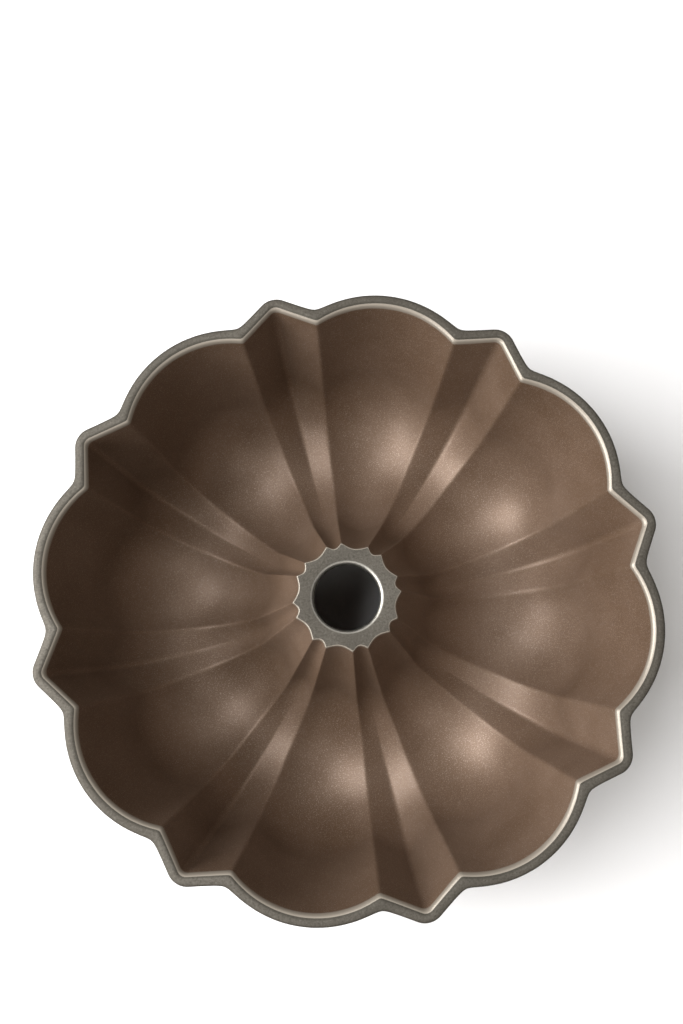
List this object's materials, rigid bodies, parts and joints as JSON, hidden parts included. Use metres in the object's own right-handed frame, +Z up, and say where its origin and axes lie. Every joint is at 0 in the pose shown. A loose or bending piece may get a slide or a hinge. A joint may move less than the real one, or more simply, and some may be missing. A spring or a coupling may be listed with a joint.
{
  "type": "bundt pan",
  "caption": "Fluted ring cake pan in cast aluminium, with a hollow centre tube, a dark bronze non-stick cavity and a flat rim.",
  "frame": {"origin": "centre of the plane that the pan stands on, on the tube's axis", "axes": "+Z up out of the cavity along the tube, +X through the valley of a pointed flute"},
  "size_m": [0.2702, 0.2702, 0.088],
  "materials": {
    "cast_aluminium": "dull grey-brown cast aluminium, rim and tube top ground flat with fine lines",
    "bronze_nonstick": "dark metallic bronze non-stick coat, satin",
    "bronze_enamel": "dark bronze baked enamel, low sheen"
  },
  "bodies": {
    "root": {"pan_casting": "cast_aluminium", "cavity_nonstick_lining": "bronze_nonstick", "outside_enamel": "bronze_enamel"}
  },
  "joints": []
}
